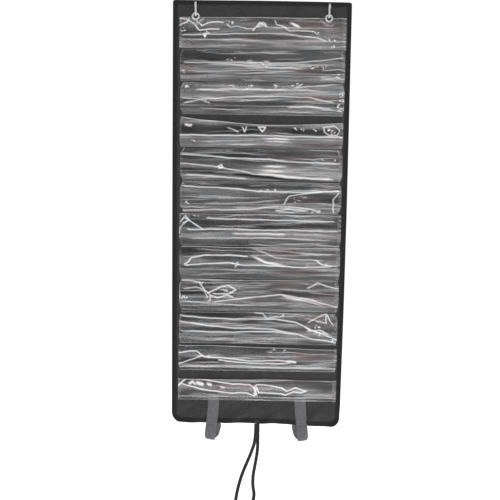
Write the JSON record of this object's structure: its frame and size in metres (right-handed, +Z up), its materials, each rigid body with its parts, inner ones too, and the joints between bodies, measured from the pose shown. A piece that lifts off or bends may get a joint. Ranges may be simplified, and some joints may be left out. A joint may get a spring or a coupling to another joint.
{
  "type": "hanging glasses organizer",
  "caption": "Hanging fabric panel with rows of clear film pockets for glasses; S-hooks in its eyelets, webbing loops and tie cords at its foot; it rolls up.",
  "frame": {"origin": "the hang line: inner top of the hooks' upper curls, midway between the two hooks", "axes": "+X to the right seen from the front, +Y to the back, +Z up; the pockets face -Y"},
  "size_m": [0.36, 0.034, 1.1783],
  "materials": {
    "backing_fabric": "charcoal woven polyester, fine plain weave",
    "binding_tape": "black grosgrain tape folded over the edge",
    "clear_film": "clear soft vinyl film, glossy and creased",
    "eyelet_metal": "nickel-plated",
    "hook_metal": "nickel-plated wire",
    "webbing": "grey ribbed webbing",
    "tie_cord": "black flat braid",
    "thread": "black sewing thread"
  },
  "bodies": {
    "header": {"backing_header": "backing_fabric", "binding_header": "binding_tape", "pocket_film_01": "clear_film", "eyelet_left": "eyelet_metal", "eyelet_right": "eyelet_metal", "eyelet_washer_left": "eyelet_metal", "eyelet_washer_right": "eyelet_metal"},
    "row_02": {"backing_row_02": "backing_fabric", "binding_row_02": "binding_tape", "pocket_film_02": "clear_film"},
    "row_03": {"backing_row_03": "backing_fabric", "binding_row_03": "binding_tape", "pocket_film_03": "clear_film"},
    "row_04": {"backing_row_04": "backing_fabric", "binding_row_04": "binding_tape", "pocket_film_04": "clear_film"},
    "row_05": {"backing_row_05": "backing_fabric", "binding_row_05": "binding_tape", "pocket_film_05": "clear_film"},
    "row_06": {"backing_row_06": "backing_fabric", "binding_row_06": "binding_tape", "pocket_film_06": "clear_film"},
    "row_07": {"backing_row_07": "backing_fabric", "binding_row_07": "binding_tape", "pocket_film_07": "clear_film"},
    "row_08": {"backing_row_08": "backing_fabric", "binding_row_08": "binding_tape", "pocket_film_08": "clear_film"},
    "row_09": {"backing_row_09": "backing_fabric", "binding_row_09": "binding_tape", "pocket_film_09": "clear_film"},
    "row_10": {"backing_row_10": "backing_fabric", "binding_row_10": "binding_tape", "pocket_film_10": "clear_film"},
    "row_11": {"backing_row_11": "backing_fabric", "binding_row_11": "binding_tape", "pocket_film_11": "clear_film"},
    "bottom": {"backing_bottom": "backing_fabric", "binding_bottom": "binding_tape", "pocket_film_12": "clear_film", "strap_left": "webbing", "strap_right": "webbing", "tie_left": "tie_cord", "tie_right": "tie_cord", "tie_bartack": "thread"},
    "hook_left": {"hook_left": "hook_metal"},
    "hook_right": {"hook_right": "hook_metal"}
  },
  "joints": [
    {"name": "fold_01", "type": "hinge", "parent": "header", "child": "row_02", "pos_m": [0, 0.0134, -0.0825], "axis": [-1, 0, 0], "range_deg": [0, 112]},
    {"name": "fold_02", "type": "hinge", "parent": "row_02", "child": "row_03", "pos_m": [0, 0.0134, -0.1495], "axis": [-1, 0, 0], "range_deg": [0, 80]},
    {"name": "fold_03", "type": "hinge", "parent": "row_03", "child": "row_04", "pos_m": [0, 0.0134, -0.2165], "axis": [-1, 0, 0], "range_deg": [0, 68]},
    {"name": "fold_04", "type": "hinge", "parent": "row_04", "child": "row_05", "pos_m": [0, 0.0134, -0.2835], "axis": [-1, 0, 0], "range_deg": [0, 74]},
    {"name": "fold_05", "type": "hinge", "parent": "row_05", "child": "row_06", "pos_m": [0, 0.0134, -0.3505], "axis": [-1, 0, 0], "range_deg": [0, 51]},
    {"name": "fold_06", "type": "hinge", "parent": "row_06", "child": "row_07", "pos_m": [0, 0.0134, -0.4175], "axis": [-1, 0, 0], "range_deg": [0, 72]},
    {"name": "fold_07", "type": "hinge", "parent": "row_07", "child": "row_08", "pos_m": [0, 0.0134, -0.4845], "axis": [-1, 0, 0], "range_deg": [0, 43]},
    {"name": "fold_08", "type": "hinge", "parent": "row_08", "child": "row_09", "pos_m": [0, 0.0134, -0.5515], "axis": [-1, 0, 0], "range_deg": [0, 68]},
    {"name": "fold_09", "type": "hinge", "parent": "row_09", "child": "row_10", "pos_m": [0, 0.0134, -0.6185], "axis": [-1, 0, 0], "range_deg": [0, 38]},
    {"name": "fold_10", "type": "hinge", "parent": "row_10", "child": "row_11", "pos_m": [0, 0.0134, -0.6855], "axis": [-1, 0, 0], "range_deg": [0, 34]},
    {"name": "fold_11", "type": "hinge", "parent": "row_11", "child": "bottom", "pos_m": [0, 0.0134, -0.7525], "axis": [-1, 0, 0], "range_deg": [0, 90]},
    {"name": "hook_swing_left", "type": "hinge", "parent": "header", "child": "hook_left", "pos_m": [-0.136, 0.015, -0.0141], "axis": [1, 0, 0], "range_deg": [-8, 30]},
    {"name": "hook_swing_right", "type": "hinge", "parent": "header", "child": "hook_right", "pos_m": [0.136, 0.015, -0.0141], "axis": [1, 0, 0], "range_deg": [-8, 30]}
  ],
  "couplings": [
    {"joint": "fold_02", "follows": "fold_01", "ratio": 0.70536},
    {"joint": "fold_03", "follows": "fold_01", "ratio": 0.59821},
    {"joint": "fold_04", "follows": "fold_01", "ratio": 0.65179},
    {"joint": "fold_05", "follows": "fold_01", "ratio": 0.44643},
    {"joint": "fold_06", "follows": "fold_01", "ratio": 0.63393},
    {"joint": "fold_07", "follows": "fold_01", "ratio": 0.375},
    {"joint": "fold_08", "follows": "fold_01", "ratio": 0.59821},
    {"joint": "fold_09", "follows": "fold_01", "ratio": 0.33036},
    {"joint": "fold_10", "follows": "fold_01", "ratio": 0.29464},
    {"joint": "fold_11", "follows": "fold_01", "ratio": 0.79464}
  ]
}
